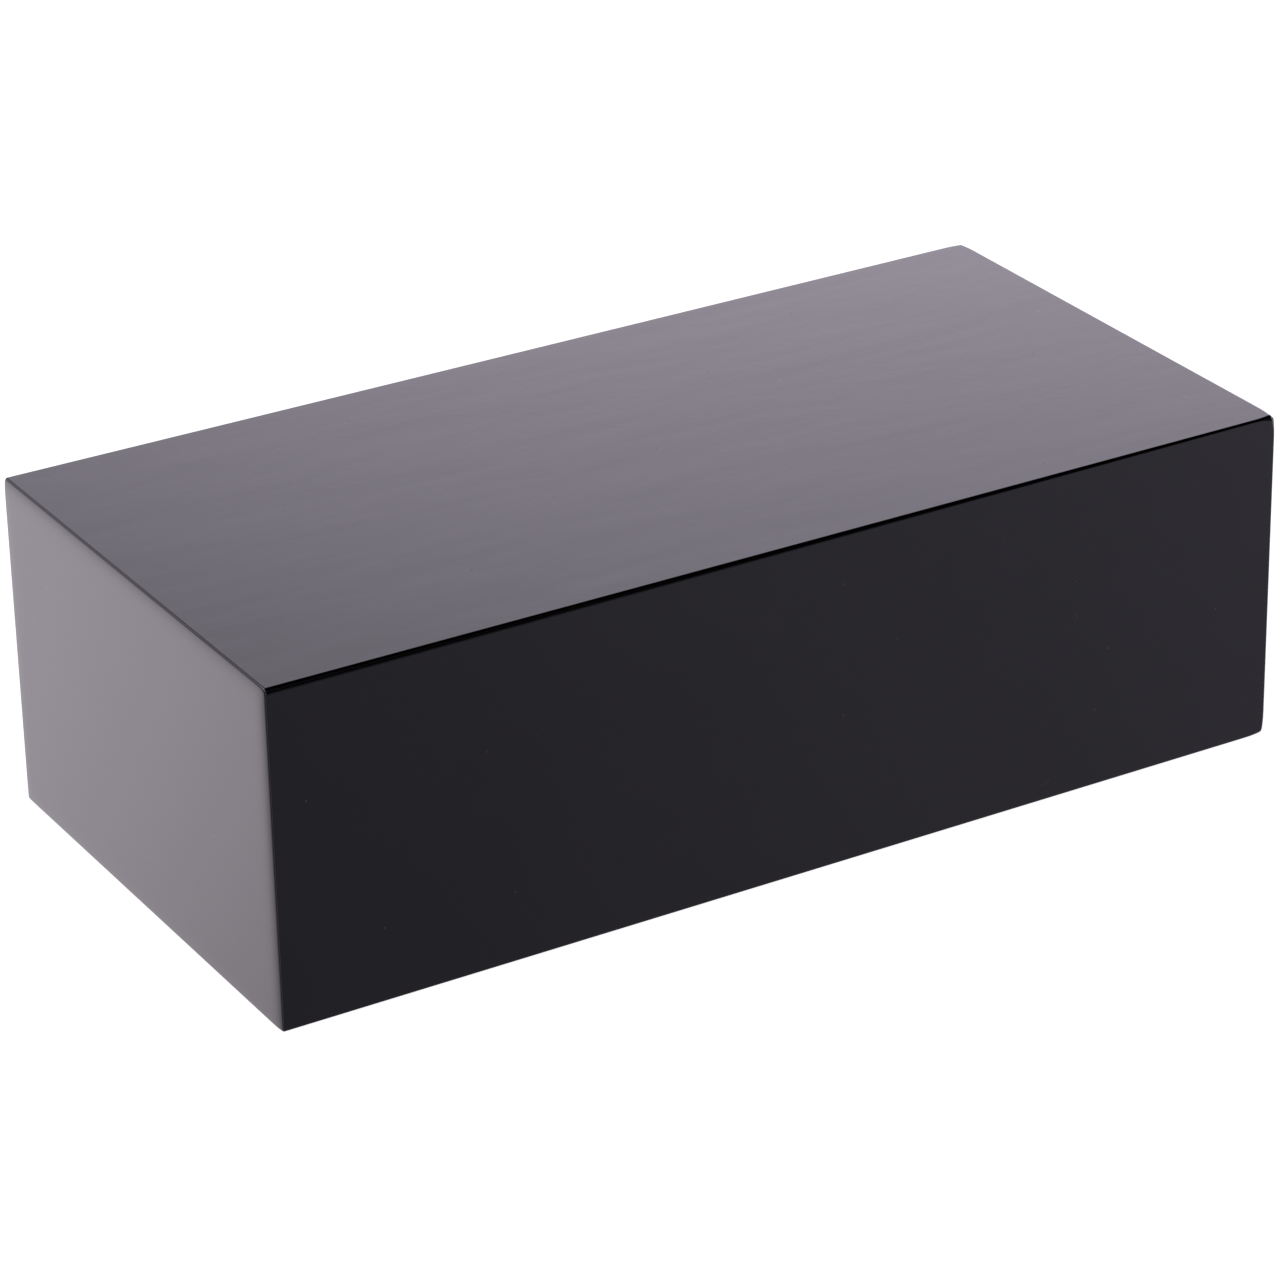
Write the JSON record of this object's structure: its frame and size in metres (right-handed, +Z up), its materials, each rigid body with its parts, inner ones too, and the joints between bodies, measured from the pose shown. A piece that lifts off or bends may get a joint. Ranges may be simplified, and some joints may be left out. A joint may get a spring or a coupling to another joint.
{
  "type": "apple box",
  "caption": "Closed rectangular riser box in gloss black lacquer, for standing, sitting or setting studio gear on.",
  "frame": {"origin": "centre of the underside, on the surface that the box stands on", "axes": "+X along the length to the right end, +Y from the front wall to the back wall, +Z up"},
  "size_m": [0.508, 0.25, 0.159],
  "materials": {
    "black_lacquer": "gloss",
    "bare_plywood": "matte",
    "plug_wood": "matte",
    "zinc_steel": "satin"
  },
  "bodies": {
    "root": {"top_panel": "black_lacquer", "bottom_panel": "black_lacquer", "front_panel": "black_lacquer", "back_panel": "black_lacquer", "left_end_panel": "black_lacquer", "right_end_panel": "black_lacquer", "centre_brace": "bare_plywood", "top_screw_1": "zinc_steel", "top_plug_1": "plug_wood", "top_screw_2": "zinc_steel", "top_plug_2": "plug_wood", "top_screw_3": "zinc_steel", "top_plug_3": "plug_wood", "top_screw_4": "zinc_steel", "top_plug_4": "plug_wood", "top_screw_5": "zinc_steel", "top_plug_5": "plug_wood", "top_screw_6": "zinc_steel", "top_plug_6": "plug_wood", "top_screw_7": "zinc_steel", "top_plug_7": "plug_wood", "top_screw_8": "zinc_steel", "top_plug_8": "plug_wood", "bottom_screw_1": "zinc_steel", "bottom_plug_1": "plug_wood", "bottom_screw_2": "zinc_steel", "bottom_plug_2": "plug_wood", "bottom_screw_3": "zinc_steel", "bottom_plug_3": "plug_wood", "bottom_screw_4": "zinc_steel", "bottom_plug_4": "plug_wood", "bottom_screw_5": "zinc_steel", "bottom_plug_5": "plug_wood", "bottom_screw_6": "zinc_steel", "bottom_plug_6": "plug_wood", "bottom_screw_7": "zinc_steel", "bottom_plug_7": "plug_wood", "bottom_screw_8": "zinc_steel", "bottom_plug_8": "plug_wood", "front_screw_1": "zinc_steel", "front_plug_1": "plug_wood", "front_screw_2": "zinc_steel", "front_plug_2": "plug_wood", "front_screw_3": "zinc_steel", "front_plug_3": "plug_wood", "front_screw_4": "zinc_steel", "front_plug_4": "plug_wood", "back_screw_1": "zinc_steel", "back_plug_1": "plug_wood", "back_screw_2": "zinc_steel", "back_plug_2": "plug_wood", "back_screw_3": "zinc_steel", "back_plug_3": "plug_wood", "back_screw_4": "zinc_steel", "back_plug_4": "plug_wood"}
  },
  "joints": []
}
